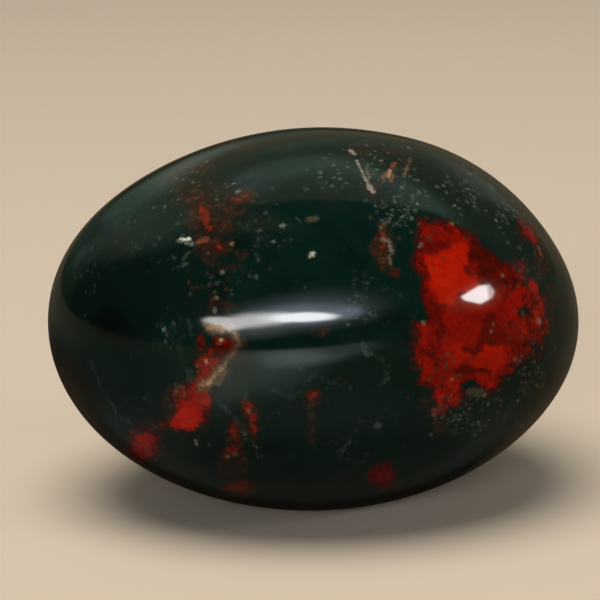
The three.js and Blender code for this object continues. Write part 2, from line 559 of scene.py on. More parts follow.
# Haze: iron has stained the chalcedony rust brown round the smaller red marks, and in some places
# the green is darkened to near black. Each is an oval and how strong it is there.
rust_ovals = {
    "front": [
        # round the cluster at the upper left
        ((-9.9, 9.6, 2.2, 2.2), 0.60),
        ((-11.5, 11.6, 1.3, 0.7), 0.70),
        ((-12.6, 12.9, 0.9, 0.7), 0.60),
        ((-13.4, 13.6, 0.6, 0.4), 0.50),
        ((-10.3, 11.6, 3.0, 1.6), 0.45),
        ((-11.2, 11.4, 0.9, 0.4), 0.9),
        ((-8.6, 8.6, 1.2, 0.5), 0.7),
        ((-7.6, 10.3, 1.0, 0.5), 0.6),
        ((-8.0, 10.7, 1.2, 0.5), 0.55),
        ((-6.6, 11.7, 1.0, 0.6), 0.80),
        ((-10.4, 7.7, 0.9, 0.4), 0.80),
        ((-9.3, 6.8, 1.8, 0.6), 0.80),
        ((-9.9, 5.8, 0.9, 0.5), 0.60),
        ((-7.8, 7.2, 0.6, 0.5), 0.45),
        ((-6.7, 6.2, 0.6, 0.6), 0.45),
        ((-7.5, 5.0, 0.9, 0.5), 0.40),
        ((-8.7, 4.9, 0.4, 0.5), 0.45),
        ((-9.3, 1.4, 0.7, 1.2), 0.55),
        ((-8.0, 1.3, 0.8, 0.6), 0.55),
        # by the top vein
        ((6.6, 6.9, 0.95, 2.2), 1.0),
        ((7.7, 4.7, 0.5, 0.6), 0.70),
        ((5.0, 16.4, 1.0, 0.5), 0.35),
        ((8.9, 14.6, 0.6, 0.9), 0.22),
        ((5.6, 12.2, 0.9, 0.7), 0.45),
        ((4.2, 15.9, 1.3, 0.6), 0.35),
        ((8.2, 16.0, 1.4, 0.6), 0.35),
        ((-11.2, 14.6, 1.6, 0.8), 0.60),
        ((-7.2, 16.6, 2.0, 0.6), 0.50),
        # along the streak, below the patch and round the small marks
        ((-7.2, -2.5, 0.7, 1.6), 0.60),
        ((-9.9, -4.4, 1.2, 1.4), 0.45),
        ((-10.4, -7.0, 0.9, 0.8), 0.40),
        ((-12.9, -6.6, 0.9, 0.6), 0.55),
        ((-13.6, -8.6, 0.8, 1.2), 0.60),
        ((-14.8, -10.0, 1.1, 0.6), 0.50),
        ((11.9, -9.3, 0.5, 1.5), 0.55),
        ((10.6, -7.9, 0.6, 0.7), 0.40),
        ((21.6, 5.4, 0.7, 1.4), 1.0),
        ((22.6, 2.4, 0.4, 1.6), 0.35),
        ((-0.1, -9.8, 0.5, 2.1), 0.45),
        ((0.1, -7.4, 0.9, 0.9), 0.60),
        ((-7.6, -13.6, 1.4, 1.4), 0.40),
        ((-5.8, -9.4, 0.9, 1.9), 0.45),
        ((-7.4, -10.8, 0.8, 1.2), 0.45),
        ((0.8, -1.0, 1.2, 0.45), 0.45),
        ((-7.0, -15.9, 1.9, 0.9), 0.45),
    ],
    "back": [
        ((-8.8, 1.8, 5.4, 6.2), 0.30),
        ((8.8, 2.4, 2.2, 6.4), 0.50),
        ((2.6, -9.4, 1.8, 1.8), 0.50),
        ((-16.4, -5.6, 1.8, 1.8), 0.60),
        ((-2.0, 1.8, 0.9, 2.4), 0.80),
        ((0.8, 11.6, 1.4, 0.9), 0.80),
        ((7.2, -10.6, 1.0, 1.6), 0.70),
        ((-3.0, -12.2, 1.6, 1.0), 0.60),
    ],
    "right": [((4.2, 0.4, 2.6, 5.4), 0.40), ((10.4, 4.0, 1.2, 2.8), 0.70), ((8.2, -8.6, 1.4, 1.0), 0.70)],
    "left": [((-7.2, 4.2, 1.4, 3.2), 0.60), ((-11.8, -3.8, 1.8, 2.2), 0.40), ((-14.8, 4.4, 1.0, 0.9), 0.70)],
    "top": [((-8.0, 10.6, 2.8, 2.2), 0.50), ((4.2, 10.0, 2.2, 1.8), 0.40), ((12.2, 9.2, 1.8, 1.2), 0.70)],
    "below": [((-5.0, -3.6, 3.0, 3.6), 0.40), ((8.8, -5.4, 2.2, 1.8), 0.50), ((2.2, 0.0, 1.4, 0.9), 0.80)],
}
shade_ovals = {
    "front": [
        ((-18.4, 2.4, 4.6, 5.4), 0.45),
        ((-13.0, 3.6, 4.6, 3.6), 0.30),
        ((-6.0, 8.4, 1.8, 2.8), 0.30),
        ((-19.2, -0.3, 2.1, 1.8), 0.75),
        ((-18.4, -1.2, 2.2, 0.9), 0.60),
        ((-7.6, 9.6, 1.6, 1.3), 0.45),
        ((-9.0, 2.2, 0.8, 2.4), 0.5),
        ((9.2, -1.6, 0.8, 1.0), 0.4),
        ((4.0, 0.2, 4.6, 0.8), 0.4),
    ],
    "back": [((15.0, -3.0, 4.4, 5.0), 0.45), ((-2.4, -5.0, 4.0, 2.6), 0.35), ((2.8, 7.6, 2.2, 3.4), 0.35)],
    "right": [((10.2, -1.6, 3.4, 3.2), 0.40), ((6.4, 9.6, 3.0, 2.0), 0.35)],
    "left": [((-11.0, 1.6, 3.8, 3.0), 0.45), ((-6.4, -3.0, 2.4, 2.6), 0.40)],
    "top": [((-2.6, 9.4, 3.0, 2.4), 0.40), ((9.0, 12.0, 3.0, 1.6), 0.35)],
    "below": [((3.6, -5.6, 3.0, 3.0), 0.40), ((-11.4, 1.0, 3.4, 2.4), 0.45)],
}


def haze(ovals):
    """The strongest of the given soft ovals at each vertex."""
    strongest = np.zeros(len(places))
    for side, marks in ovals.items():
        flat, faces_eye = seen_flat(side)
        for oval, strength in marks:
            strongest = np.maximum(strongest, np.where(faces_eye, strength * inside_oval(flat, oval), 0))
    return strongest


keep("rust", haze(rust_ovals))
keep("shade", haze(shade_ovals))


# Flecks and threads: specks of quartz, rust and clay, and thin grey-green threads, each a short
# stroke of one colour. Every face of the mesh keeps the stroke that lies nearest to it.
fleck_colours = {
    "white": (0.50, 0.52, 0.44),
    "pale": (0.095, 0.110, 0.088),
    "grey": (0.030, 0.042, 0.035),
    "thread": (0.015, 0.025, 0.020),
    "tan": (0.120, 0.078, 0.042),
    "olive": (0.045, 0.043, 0.025),
    "orange": (0.130, 0.040, 0.016),
    "peach": (0.280, 0.150, 0.085),
    "brown": (0.050, 0.018, 0.009),
    "pink": (0.22, 0.062, 0.040),
    "cream": (0.46, 0.29, 0.17),
    "vein": (0.24, 0.20, 0.165),
}
flecks = {
    "front": [
        # the white lump at the upper left and the strokes below it
        ("white", [(-12.5, 7.6, 0.14), (-11.8, 7.6, 0.24)]),
        ("pale", [(-12.7, 7.5, 0.2), (-11.4, 7.2, 0.16)]),
        ("grey", [(-12.3, 8.0, 0.14)]),
        ("grey", [(-11.7, 6.4, 0.12), (-12.2, 5.8, 0.1)]),
        ("grey", [(-12.3, 5.2, 0.16), (-12.0, 5.3, 0.12)]),
        # single specks
        ("pale", [(-7.5, 12.9, 0.15)]),
        ("pale", [(-7.1, 12.1, 0.18)]),
        ("grey", [(-8.1, 12.6, 0.14)]),
        ("grey", [(-10.8, 12.7, 0.14)]),
        ("grey", [(-4.5, 10.1, 0.14)]),
        ("grey", [(-5.3, 8.4, 0.12), (-4.9, 8.5, 0.12)]),
        ("pale", [(-2.9, 8.9, 0.2)]),
        ("grey", [(-1.5, 9.5, 0.14)]),
        ("grey", [(-5.2, 7.6, 0.14)]),
        ("pale", [(-3.8, 7.4, 0.12)]),
        ("grey", [(-5.2, 5.7, 0.16)]),
        ("grey", [(-5.4, 4.1, 0.16)]),
        ("grey", [(-6.0, 4.2, 0.12)]),
        ("grey", [(-12.8, 9.1, 0.16)]),
        ("olive", [(-0.4, 9.5, 0.28), (0.2, 9.55, 0.26)]),
        ("pale", [(-0.2, 9.5, 0.14), (0.1, 9.6, 0.12)]),
        ("white", [(-0.1, 6.2, 0.17)]),
        ("cream", [(-0.3, 6.0, 0.1)]),
        ("pale", [(12.3, 12.7, 0.12)]),
        ("pale", [(17.3, 9.4, 0.16)]),
        ("grey", [(19.5, 6.8, 0.2)]),
        ("grey", [(18.4, 7.3, 0.14)]),
        # the dotted line below the cluster
        ("pale", [(-8.6, 4.5, 0.15)]),
        ("grey", [(-9.1, 3.5, 0.18)]),
        ("grey", [(-9.7, 3.4, 0.12)]),
        ("grey", [(-9.3, 2.6, 0.14)]),
        ("pale", [(-9.1, 2.1, 0.14)]),
        ("pale", [(-9.3, 1.0, 0.16), (-9.3, 0.8, 0.12)]),
        ("tan", [(-7.7, 7.2, 0.16)]),
        ("orange", [(-10.2, 7.6, 0.3), (-10.8, 7.4, 0.2)]),
        ("tan", [(-11.3, 13.0, 0.14)]),
        # the top vein, its tan arm, the orange patch and the strokes round them
        ("vein", [(3.5, 16.0, 0.16), (3.9, 15.7, 0.22)]),
        ("vein", [(4.1, 15.1, 0.07), (4.5, 14.2, 0.09)]),
        ("vein", [(4.5, 14.2, 0.08), (4.9, 13.4, 0.09)]),
        ("vein", [(4.9, 13.4, 0.10), (5.3, 12.6, 0.16)]),
        ("vein", [(5.3, 12.6, 0.22), (5.6, 12.2, 0.24)]),
        ("cream", [(5.6, 12.2, 0.12)]),
        ("olive", [(5.2, 14.7, 0.16), (5.0, 14.1, 0.16)]),
        ("tan", [(5.1, 14.0, 0.12), (5.3, 13.4, 0.12)]),
        ("orange", [(7.7, 14.8, 0.16), (7.5, 14.4, 0.26)]),
        ("peach", [(7.25, 14.1, 0.2), (7.05, 13.5, 0.16)]),
        ("orange", [(6.8, 13.8, 0.2), (6.6, 13.4, 0.14)]),
        ("orange", [(7.6, 13.8, 0.14), (7.3, 13.1, 0.12)]),
        ("olive", [(9.2, 15.3, 0.14), (9.0, 14.6, 0.14)]),
        ("tan", [(8.9, 14.4, 0.1), (8.6, 13.7, 0.1)]),
        ("pale", [(8.4, 12.5, 0.14)]),
        ("grey", [(9.4, 11.8, 0.12)]),
        ("pale", [(9.8, 11.0, 0.14)]),
        ("grey", [(5.0, 11.3, 0.16)]),
        ("grey", [(8.8, 8.9, 0.12)]),
        # the white squiggle in the brown mark
        ("pale", [(6.6, 7.6, 0.12), (7.1, 7.4, 0.16)]),
        ("pale", [(7.1, 7.4, 0.16), (7.4, 6.5, 0.14)]),
        ("grey", [(7.3, 6.4, 0.14), (7.1, 5.8, 0.14)]),
        ("tan", [(7.2, 5.9, 0.14), (7.3, 5.4, 0.1)]),
        # specks in and round the patch
        ("tan", [(17.9, 4.2, 0.16)]),
        ("tan", [(10.4, -0.3, 0.18)]),
        ("tan", [(10.2, 7.1, 0.16)]),
        ("tan", [(13.1, 9.1, 0.14)]),
        ("tan", [(17.0, -0.4, 0.1)]),
        ("tan", [(16.8, -1.1, 0.1)]),
        ("tan", [(13.1, -5.6, 0.12)]),
        ("cream", [(21.4, -0.1, 0.15)]),
        ("pink", [(21.3, -0.1, 0.28)]),
        ("orange", [(21.3, 6.8, 0.2), (21.5, 6.2, 0.3)]),
        ("olive", [(14.8, -6.8, 0.35), (15.9, -6.9, 0.4)]),
        ("tan", [(16.2, -7.1, 0.2)]),
        ("olive", [(19.8, 0.6, 0.22)]),
        # specks in the streak
        ("cream", [(-8.7, -1.9, 0.14)]),
        ("orange", [(-8.9, -2.1, 0.22)]),
        ("pink", [(-10.0, -4.1, 0.16)]),
        ("cream", [(-10.1, -3.9, 0.1)]),
        ("tan", [(-6.1, -8.6, 0.16)]),
        ("tan", [(-8.1, -12.9, 0.2)]),
        ("olive", [(-7.4, -12.7, 0.25)]),
        # round marks and lumps
        ("grey", [(6.1, -10.0, 0.35)]),
        ("thread", [(-11.7, -4.9, 0.35), (-11.6, -5.6, 0.3)]),
        ("grey", [(-12.9, -6.2, 0.25)]),
        ("pale", [(-14.1, -0.9, 0.17)]),
        ("grey", [(-14.0, -2.1, 0.16)]),
        ("grey", [(-13.8, -1.4, 0.14)]),
        ("grey", [(-13.1, -0.4, 0.14)]),
        ("thread", [(-11.8, 0.0, 0.12), (-11.5, -1.4, 0.12)]),
        ("thread", [(-6.4, -7.0, 0.14), (-6.4, -7.5, 0.12)]),
        ("pale", [(-11.1, -11.4, 0.12), (-11.0, -11.8, 0.1)]),
        ("grey", [(-9.8, -11.8, 0.12)]),
    ],
}

# Threads are longer and broken: each is told by its colour and its points, and is drawn as short
# pieces that stray a little from the line, with some left out.
threads = {
    "front": [
        ("thread", [(-9.3, -7.5, 0.18), (-8.2, -8.4, 0.2), (-7.1, -9.6, 0.2), (-6.5, -10.7, 0.22)]),
        ("grey", [(-6.5, -10.7, 0.18), (-5.6, -11.6, 0.2), (-5.2, -12.6, 0.14), (-4.8, -13.5, 0.1)]),
        ("grey", [(4.7, -2.3, 0.3), (5.1, -3.0, 0.3), (5.6, -3.4, 0.2)]),
        (
            "thread",
            [(5.1, -2.8, 0.2), (6.5, -3.8, 0.3), (7.0, -4.9, 0.2), (6.8, -5.6, 0.3), (6.2, -6.4, 0.2)],
        ),
        ("thread", [(4.3, -9.6, 0.16), (3.6, -11.0, 0.18), (2.8, -12.4, 0.18), (2.3, -13.3, 0.14)]),
        ("grey", [(3.9, -10.5, 0.14), (3.1, -11.9, 0.12), (2.5, -12.9, 0.14)]),
        ("thread", [(-12.6, -2.6, 0.12), (-12.3, -4.0, 0.12), (-11.9, -5.0, 0.14)]),
        ("thread", [(-0.2, -8.3, 0.12), (-0.1, -10.4, 0.14), (0.1, -13.2, 0.1)]),
        ("thread", [(12.3, -9.8, 0.2), (13.6, -10.8, 0.25), (15.0, -10.6, 0.2), (16.4, -10.0, 0.15)]),
        ("thread", [(-21.2, -3.8, 0.16), (-19.4, -7.6, 0.25), (-17.0, -10.4, 0.3), (-15.8, -10.9, 0.2)]),
        ("thread", [(19.4, -5.0, 0.14), (19.8, -6.6, 0.2), (21.0, -7.4, 0.12)]),
        ("thread", [(-3.6, -6.6, 0.3), (-2.0, -7.3, 0.3), (-1.0, -6.6, 0.2)]),
        ("thread", [(8.0, 14.6, 0.1), (8.6, 12.4, 0.14), (8.2, 10.2, 0.12), (8.9, 8.2, 0.1)]),
        ("thread", [(3.0, 16.2, 0.1), (4.6, 16.9, 0.12), (6.2, 17.2, 0.1)]),
        ("thread", [(22.8, -0.6, 0.16), (22.4, -3.0, 0.14)]),
    ],
    "back": [
        ("vein", [(-1.6, 12.6, 0.16), (0.2, 9.0, 0.10), (1.0, 5.8, 0.14), (2.8, 2.6, 0.08)]),
        ("grey", [(13.8, 8.4, 0.14), (15.0, 5.0, 0.2), (14.6, 1.2, 0.16), (16.2, -2.4, 0.12)]),
        ("thread", [(-14.2, -9.0, 0.2), (-11.0, -7.6, 0.25), (-7.0, -8.4, 0.2), (-3.8, -7.0, 0.16)]),
        ("thread", [(4.2, -1.0, 0.2), (5.4, -4.2, 0.25), (4.8, -7.2, 0.2)]),
        ("grey", [(-18.0, 7.6, 0.12), (-15.4, 8.8, 0.16), (-13.0, 8.2, 0.12)]),
        ("thread", [(10.6, -6.0, 0.2), (12.4, -8.6, 0.2), (11.8, -10.6, 0.14)]),
    ],
    "right": [
        ("grey", [(7.4, 9.4, 0.12), (7.0, 5.6, 0.16), (7.8, 1.4, 0.14), (7.2, -2.6, 0.12)]),
        ("thread", [(11.0, -5.4, 0.2), (12.6, -7.8, 0.2), (11.4, -9.8, 0.16)]),
        ("vein", [(14.4, 4.6, 0.08), (14.9, 2.4, 0.10), (14.6, 0.6, 0.08)]),
    ],
    "left": [
        ("vein", [(-10.2, 9.0, 0.10), (-11.0, 6.6, 0.14), (-11.2, 4.4, 0.08)]),
        ("thread", [(-4.0, 1.6, 0.2), (-5.2, -1.4, 0.2), (-7.8, -3.4, 0.2)]),
        ("grey", [(-14.0, 0.6, 0.14), (-15.2, -2.4, 0.16), (-14.8, -5.4, 0.12)]),
    ],
    "top": [
        ("vein", [(-1.4, 8.0, 0.10), (0.2, 10.8, 0.12), (0.6, 13.2, 0.08)]),
        ("grey", [(-13.2, 9.4, 0.14), (-11.8, 11.8, 0.16), (-9.6, 13.6, 0.12)]),
        ("thread", [(8.0, 8.2, 0.2), (8.8, 11.4, 0.2), (6.8, 14.2, 0.16)]),
    ],
    "below": [
        ("grey", [(-10.4, -9.2, 0.14), (-8.0, -7.0, 0.18), (-7.4, -4.2, 0.14)]),
        ("thread", [(5.0, 2.2, 0.2), (6.4, -1.6, 0.2), (5.6, -4.4, 0.16)]),
        ("vein", [(12.0, -3.0, 0.10), (13.6, -5.0, 0.12), (13.2, -7.4, 0.08)]),
    ],
}

# Showers of small specks: (right, up, half width, half height), how many, and their colours.
showers = {
    "front": [
        ((-12.3, 6.8, 2.6, 2.4), 24, ("grey", "thread", "thread")),
        ((-5.0, 8.0, 3.6, 3.6), 40, ("grey", "thread", "thread", "olive")),
        ((-8.0, 11.9, 2.4, 1.8), 22, ("grey", "thread", "olive")),
        ((-8.8, 3.6, 2.4, 2.4), 24, ("grey", "thread", "brown")),
        ((8.0, 11.2, 2.8, 4.0), 110, ("pale", "grey", "pale", "olive")),
        ((6.0, 15.0, 4.0, 2.0), 50, ("pale", "grey", "tan", "olive")),
        ((2.6, 13.4, 3.4, 2.0), 36, ("pale", "grey")),
        ((14.6, 12.4, 3.4, 2.4), 80, ("pale", "grey")),
        ((18.2, 10.2, 1.6, 2.0), 40, ("pale", "grey")),
        ((-12.0, 12.6, 3.4, 2.4), 50, ("pale", "grey", "olive")),
        ((-17.6, 7.4, 2.6, 3.6), 30, ("grey", "thread")),
        ((7.0, 6.6, 0.8, 2.0), 10, ("brown", "tan", "olive")),
        ((-13.4, -1.6, 1.8, 2.2), 26, ("grey", "thread", "thread")),
        ((4.4, 0.7, 1.8, 1.2), 30, ("grey", "thread", "pale")),
        ((5.0, 2.6, 3.0, 2.4), 22, ("thread", "grey")),
        ((0.4, -6.4, 3.4, 1.4), 22, ("thread", "grey")),
        ((-6.4, -11.4, 3.0, 2.6), 24, ("thread", "grey", "olive")),
        ((3.2, -12.0, 2.4, 2.6), 20, ("thread", "grey")),
        ((14.6, -9.4, 3.8, 2.2), 90, ("pale", "grey", "grey", "olive")),
        ((20.6, -5.4, 2.2, 3.2), 50, ("pale", "grey", "olive")),
        ((-17.4, -9.6, 2.6, 2.6), 36, ("thread", "grey", "olive", "brown")),
        ((-21.2, 5.0, 1.6, 4.2), 26, ("thread", "grey")),
        ((-10.7, -6.3, 0.8, 1.8), 14, ("pink", "orange")),
        ((-12.4, -6.9, 0.7, 0.6), 12, ("tan", "pink", "orange")),
        ((19.0, 2.4, 1.0, 2.0), 10, ("orange", "brown")),
        ((20.2, -1.4, 2.0, 3.0), 20, ("brown", "olive", "brown")),
        ((20.6, 5.2, 2.2, 1.8), 20, ("thread", "grey", "olive")),
        ((12.4, -5.0, 2.2, 1.6), 20, ("brown", "olive", "olive")),
        ((12.6, -7.6, 1.6, 1.0), 10, ("pink", "brown", "olive")),
        ((16.6, -7.2, 2.4, 0.9), 18, ("tan", "thread", "olive")),
        ((10.4, 8.2, 0.7, 1.6), 6, ("brown", "olive")),
    ],
    "back": [
        ((-1.0, 8.0, 4.0, 5.0), 60, ("grey", "thread", "pale", "olive")),
        ((13.0, 3.0, 4.0, 6.0), 50, ("grey", "thread", "thread", "olive")),
        ((-14.0, 6.0, 4.0, 4.0), 40, ("thread", "grey", "brown")),
        ((-4.0, -8.0, 6.0, 3.0), 46, ("thread", "grey", "olive")),
        ((9.0, -7.0, 5.0, 4.0), 40, ("thread", "grey", "brown")),
        ((-8.8, 2.0, 3.6, 4.4), 20, ("brown", "orange", "olive")),
    ],
    "right": [
        ((8.6, 2.0, 3.6, 7.0), 60, ("grey", "thread", "pale", "olive")),
        ((5.6, -6.0, 4.0, 3.6), 36, ("thread", "grey", "brown")),
    ],
    "left": [
        ((-8.0, 5.0, 4.0, 5.0), 46, ("grey", "thread", "pale", "olive")),
        ((-10.0, -5.0, 5.0, 4.0), 40, ("thread", "grey", "brown")),
    ],
    "top": [
        ((-6.0, 10.0, 6.0, 3.0), 50, ("grey", "thread", "pale", "olive")),
        ((7.0, 10.4, 5.0, 3.0), 40, ("thread", "grey", "olive")),
    ],
    "below": [
        ((-6.0, -5.0, 6.0, 4.0), 46, ("thread", "grey", "olive")),
        ((8.0, -5.0, 5.0, 4.0), 36, ("thread", "grey", "brown")),
    ],
}

# Dust: faint specks strewn all over, far smaller than the marks above.
DUST_SPECKS = 1300
DUST_COLOURS = ("grey", "thread", "olive", "brown")
strokes = []
for side, marks in flecks.items():
    for colour, stroke in marks:
        ends = [on_stone(side, right, up) for right, up, _ in stroke]
        reach = sum(width for _, _, width in stroke) / len(stroke) * MM
        strokes.append((ends[0], ends[-1], reach, fleck_colours[colour]))

# The length of a thread's pieces, how far they stray from the line and lean away from it, and the
# share of them that is left out.
THREAD_STEP = 0.45
THREAD_STRAY = 0.09
THREAD_LEAN = 0.05
THREAD_GAPS = 0.2
for side, marks in threads.items():
    for colour, stroke in marks:
        for (right, up, width), (next_right, next_up, next_width) in zip(stroke, stroke[1:]):
            pieces = max(2, round(math.hypot(next_right - right, next_up - up) / THREAD_STEP))
            for piece in range(pieces):
                share = piece / pieces
                centre = (right + share * (next_right - right), up + share * (next_up - up))
                centre = [value + luck.gauss(0, THREAD_STRAY) for value in centre]
                lean = [(next_right - right) / pieces / 2, (next_up - up) / pieces / 2]
                lean = [value * luck.uniform(0.3, 1.1) + luck.gauss(0, THREAD_LEAN) for value in lean]
                reach = (width + share * (next_width - width)) * luck.uniform(0.35, 0.8)
                strength = luck.uniform(0.5, 1.3)
                if luck.random() < THREAD_GAPS:
                    continue
                start = on_stone(side, centre[0] - lean[0], centre[1] - lean[1])
                end = on_stone(side, centre[0] + lean[0], centre[1] + lean[1])
                tint = [strength * channel for channel in fleck_colours[colour]]
                if start and end:
                    strokes.append((start, end, reach * MM, tint))

SPECK_LENGTH = 0.16
for side, marks in showers.items():
    for (right, up, half_width, half_height), count, colours in marks:
        for _ in range(count):
            centre = (right + luck.gauss(0, half_width / 2), up + luck.gauss(0, half_height / 2))
            turn = luck.uniform(0, math.pi)
            length = luck.uniform(0, SPECK_LENGTH)
            strength = luck.uniform(0.3, 0.9)
            tint = [strength * channel for channel in fleck_colours[luck.choice(colours)]]
            reach = luck.uniform(0.05, 0.13) * MM
            start = on_stone(side, *centre)
            end = on_stone(side, centre[0] + length * math.cos(turn), centre[1] + length * math.sin(turn))
            if start and end:
                strokes.append((start, end, reach, tint))

for _ in range(DUST_SPECKS):
    towards = Vector([luck.gauss(0, 1) for _ in range(3)]).normalized()
    place = Vector(np.array(towards) * half_size) + MIDDLE
    strength = luck.uniform(0.25, 1)
    tint = [strength * channel for channel in fleck_colours[luck.choice(DUST_COLOURS)]]
    strokes.append((place, place, luck.uniform(0.04, 0.11) * MM, tint))

# Only the faces close to a stroke ask how far it is.
CLOSE_BY = 0.9 * MM
face_count = len(mesh.polygons)
middles = np.empty(face_count * 3)
mesh.polygons.foreach_get("center", middles)
middles = middles.reshape(-1, 3)
face_finder = kdtree.KDTree(face_count)
for number, middle in enumerate(middles):
    face_finder.insert(middle, number)
face_finder.balance()
gap = np.full(face_count, np.inf)
nearest = np.zeros(face_count, int)
for number, (start, end, reach, _) in enumerate(strokes):
    around_it = face_finder.find_range((start + end) / 2, (end - start).length / 2 + reach + CLOSE_BY)
    close = np.array([index for _, index, _ in around_it], dtype=int)
    along = np.array(end - start)
    away = middles[close] - np.array(start)
    share = np.clip(away @ along / max(along @ along, 1e-12), 0, 1)
    distance = np.linalg.norm(away - share[:, None] * along, axis=1) - reach
    nearer = distance < gap[close]
    gap[close[nearer]] = distance[nearer]
    nearest[close[nearer]] = number


def keep_by_face(name, kind, field, values):
    """Keeps a value of each face's nearest stroke, for the material to read."""
    chosen = np.array(values, dtype=np.float32)[nearest]
    mesh.attributes.new(name, kind, "FACE").data.foreach_set(field, chosen.ravel())


keep_by_face("fleck_start", "FLOAT_VECTOR", "vector", [tuple(stroke[0]) for stroke in strokes])
keep_by_face("fleck_end", "FLOAT_VECTOR", "vector", [tuple(stroke[1]) for stroke in strokes])
keep_by_face("fleck_reach", "FLOAT", "value", [stroke[2] for stroke in strokes])
keep_by_face("fleck_colour", "FLOAT_VECTOR", "vector", [tuple(stroke[3]) for stroke in strokes])


# The finish: chalcedony takes a glassy polish, so the surface is smooth and mirrors softly. The
# colour lies inside the stone: cloudy dark green, then rust, red, cream and flecks over it.
polish = bpy.data.materials.new("polished_bloodstone")
polish.use_nodes = True
tree = polish.node_tree
tree.nodes.clear()


def add(kind, inputs=None, **settings):
    """Adds a shader node, sets or links its inputs, and gives its outputs."""
    node = tree.nodes.new("ShaderNode" + kind)
    for name, value in settings.items():
        setattr(node, name, value)
    for slot, value in (inputs or {}).items():
        if isinstance(value, bpy.types.NodeSocket):
            tree.links.new(value, node.inputs[slot])
        else:
            node.inputs[slot].default_value = value
    return node.outputs


def maths(operation, *values):
    """One step of arithmetic."""
    return add("Math", dict(enumerate(values)), operation=operation)[0]


def vectors(operation, *values):
    """One step of arithmetic on vectors."""
    return add("VectorMath", dict(enumerate(values)), operation=operation)


def noise(where, size_mm, detail=3.0, roughness=0.55, distortion=0.0):
    """Cloudy noise whose clouds are about size_mm across, from about -0.5 to 0.5."""
    settings = {"Vector": where, "Scale": 1 / size_mm, "Detail": detail, "Roughness": roughness}
    return maths("SUBTRACT", add("TexNoise", {**settings, "Distortion": distortion})["Fac"], 0.5)


def step(value, low, high):
    """0 below low, 1 above high and smooth between."""
    limits = {"Value": value, "From Min": low, "From Max": high}
    return add("MapRange", limits, interpolation_type="SMOOTHSTEP")["Result"]


def attribute(name, output="Fac"):
    """A number or vector kept on the mesh."""
    return add("Attribute", attribute_name=name)[output]


def blend(share, first, second):
    """The first colour, with the second over it by the share."""
    mix = tree.nodes.new("ShaderNodeMix")
    mix.data_type = "RGBA"
    for slot, value in ((0, share), (6, first), (7, second)):
        if isinstance(value, bpy.types.NodeSocket):
            tree.links.new(value, mix.inputs[slot])
        else:
            mix.inputs[slot].default_value = value
    return mix.outputs[2]


def ramp(share, stops):
    """A colour that runs through the given stops."""
    outputs = add("ValToRGB", {"Fac": share})
    band = outputs[0].node.color_ramp
    while len(band.elements) < len(stops):
        band.elements.new(1)
    for element, (position, colour) in zip(band.elements, stops):
        element.position = position
        element.color = (*colour, 1)
    return outputs[0]


place_m = add("TexCoord")["Object"]
place_mm = add("VectorMath", {0: place_m, "Scale": 1 / MM}, operation="SCALE")[0]

# The green ground, with slow clouds of blue-green and olive and a finer mottle.
slow = noise(place_mm, 9, 4, 0.6, 0.4)
fine = noise(place_mm, 1.6, 5, 0.65)
ground_share = maths("ADD", maths("MULTIPLY", slow, 1.2), maths("MULTIPLY_ADD", fine, 0.8, 0.5))
ground = ramp(
    ground_share,
    [
        (0.10, (0.0009, 0.0046, 0.0031)),
        (0.45, (0.0013, 0.0084, 0.0057)),
        (0.70, (0.0025, 0.0090, 0.0065)),
        (0.90, (0.0066, 0.0100, 0.0070)),
    ],
)
colour = blend(attribute("shade"), ground, (0.0012, 0.0011, 0.0008, 1))

# Rust
rust_share = maths("MULTIPLY", attribute("rust"), step(noise(place_mm, 0.5, 3, 0.7), -0.2, 0.15))
rust_tone = ramp(noise(place_mm, 0.9, 3, 0.6), [(0.0, (0.030, 0.008, 0.004)), (0.25, (0.085, 0.026, 0.010))])
colour = blend(rust_share, colour, rust_tone)

# Red jasper, with an edge broken into grains and darkening into brown
grains = add("TexVoronoi", {"Vector": place_mm, "Scale": 1.9, "Randomness": 1.0})["Distance"]
grains = maths("SUBTRACT", 0.42, grains)
coarse = noise(place_mm, 1.1, 3, 0.6)
small = noise(place_mm, 0.35, 3, 0.6)
tiny = noise(place_mm, 0.14, 2, 0.6)
depth = maths("MULTIPLY_ADD", coarse, 1.1, attribute("red_depth"))
depth = maths("MULTIPLY_ADD", grains, 0.5, depth)
depth = maths("MULTIPLY_ADD", small, 0.9, depth)
light = maths("MULTIPLY_ADD", coarse, 0.45, attribute("red_light"))
calm = maths("MULTIPLY_ADD", step(attribute("red_depth"), 0.5, 1.1), -0.45, 1.15)
mottle = maths("MULTIPLY_ADD", small, 0.38, maths("MULTIPLY", tiny, 0.20))
light = maths("MULTIPLY_ADD", mottle, calm, light)
light = maths("MULTIPLY_ADD", grains, 0.15, light)
light = maths("SUBTRACT", light, maths("MULTIPLY", step(depth, 0.75, 0.0), 0.28))
red = ramp(
    light,
    [
        (0.00, (0.036, 0.0020, 0.0012)),
        (0.25, (0.086, 0.0024, 0.0010)),
        (0.50, (0.175, 0.0036, 0.0008)),
        (0.75, (0.270, 0.0060, 0.0006)),
        (1.00, (0.340, 0.0120, 0.0020)),
    ],
)
colour = blend(maths("MULTIPLY", step(depth, -0.55, 0.0), 0.85), colour, (0.020, 0.0055, 0.0035, 1))
red = blend(maths("MULTIPLY", attribute("rust"), 0.65), red, (0.120, 0.0200, 0.0060, 1))
colour = blend(step(depth, -0.15, 0.30), colour, red)

